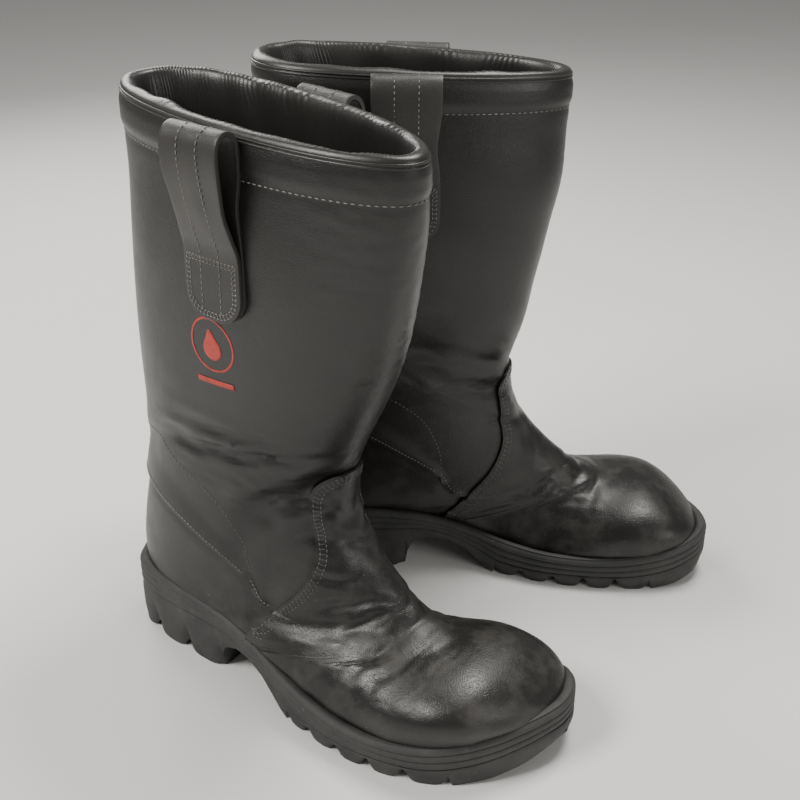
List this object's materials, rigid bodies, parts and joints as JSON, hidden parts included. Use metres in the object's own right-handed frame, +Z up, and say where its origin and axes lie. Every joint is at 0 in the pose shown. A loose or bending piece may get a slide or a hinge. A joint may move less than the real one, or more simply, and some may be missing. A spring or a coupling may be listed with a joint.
{
  "type": "firefighter boots",
  "caption": "Pair of tall black leather firefighter pull-on boots with padded collars, folded pull loops, steel toes and lugged rubber soles.",
  "frame": {"origin": "centre of the pair's footprint, on the ground under the soles", "axes": "+X the way the left boot points, +Y towards the left boot's outer side, +Z up; the right boot is turned 30 degrees clockwise seen from above"},
  "size_m": [0.3824, 0.3094, 0.3534],
  "materials": {
    "black_leather": "smooth, soft sheen",
    "strap_leather": "smooth, satin",
    "facing_leather": "finely pleated, satin",
    "lining_cloth": "matt felt",
    "sole_rubber": "matt, moulded",
    "midsole_foam": "matt, moulded",
    "steel": "pressed sheet",
    "board_fibre": "pressed fibre board",
    "padding_foam": "cloth-faced foam"
  },
  "bodies": {
    "right_boot": {"right_outsole": "sole_rubber", "right_midsole": "midsole_foam", "right_vamp": "black_leather", "right_heel_quarter": "black_leather", "right_shaft": "black_leather", "right_toe_cap": "steel", "right_heel_counter": "board_fibre", "right_insole_board": "board_fibre", "right_sole_plate": "steel", "right_shank": "steel", "right_lining": "lining_cloth", "right_footbed": "padding_foam", "right_collar_padding": "padding_foam", "right_collar_facing": "facing_leather", "right_lateral_loop_tab": "strap_leather", "right_medial_loop_tab": "strap_leather"},
    "left_boot": {"left_outsole": "sole_rubber", "left_midsole": "midsole_foam", "left_vamp": "black_leather", "left_heel_quarter": "black_leather", "left_shaft": "black_leather", "left_toe_cap": "steel", "left_heel_counter": "board_fibre", "left_insole_board": "board_fibre", "left_sole_plate": "steel", "left_shank": "steel", "left_lining": "lining_cloth", "left_footbed": "padding_foam", "left_collar_padding": "padding_foam", "left_collar_facing": "facing_leather", "left_lateral_loop_tab": "strap_leather", "left_medial_loop_tab": "strap_leather"},
    "left_lateral_loop": {"left_lateral_pull_loop": "strap_leather"},
    "left_medial_loop": {"left_medial_pull_loop": "strap_leather"},
    "right_lateral_loop": {"right_lateral_pull_loop": "strap_leather"},
    "right_medial_loop": {"right_medial_pull_loop": "strap_leather"}
  },
  "joints": [
    {"name": "left_boot_lift", "type": "slide", "parent": "right_boot", "child": "left_boot", "axis": [0, 0, 1], "range_m": [0, 0.4]},
    {"name": "left_lateral_loop_fold", "type": "hinge", "parent": "left_boot", "child": "left_lateral_loop", "pos_m": [-0.01952, 0.14178, 0.28416], "axis": [-0.9976, 0.0693, 0.0035], "range_deg": [0, 60], "stiffness_Nm_per_rad": 0.05},
    {"name": "left_medial_loop_fold", "type": "hinge", "parent": "left_boot", "child": "left_medial_loop", "pos_m": [-0.01952, 0.04145, 0.28416], "axis": [0.9976, 0.0693, -0.0035], "range_deg": [0, 14], "stiffness_Nm_per_rad": 0.05},
    {"name": "right_lateral_loop_fold", "type": "hinge", "parent": "right_boot", "child": "right_lateral_loop", "pos_m": [-0.10818, -0.08553, 0.28411], "axis": [0.8047, -0.5937, 0.0042], "range_deg": [0, 60], "stiffness_Nm_per_rad": 0.05},
    {"name": "right_medial_loop_fold", "type": "hinge", "parent": "right_boot", "child": "right_medial_loop", "pos_m": [-0.06022, -0.00424, 0.28421], "axis": [-0.7604, 0.6493, 0.0128], "range_deg": [0, 14], "stiffness_Nm_per_rad": 0.05}
  ]
}
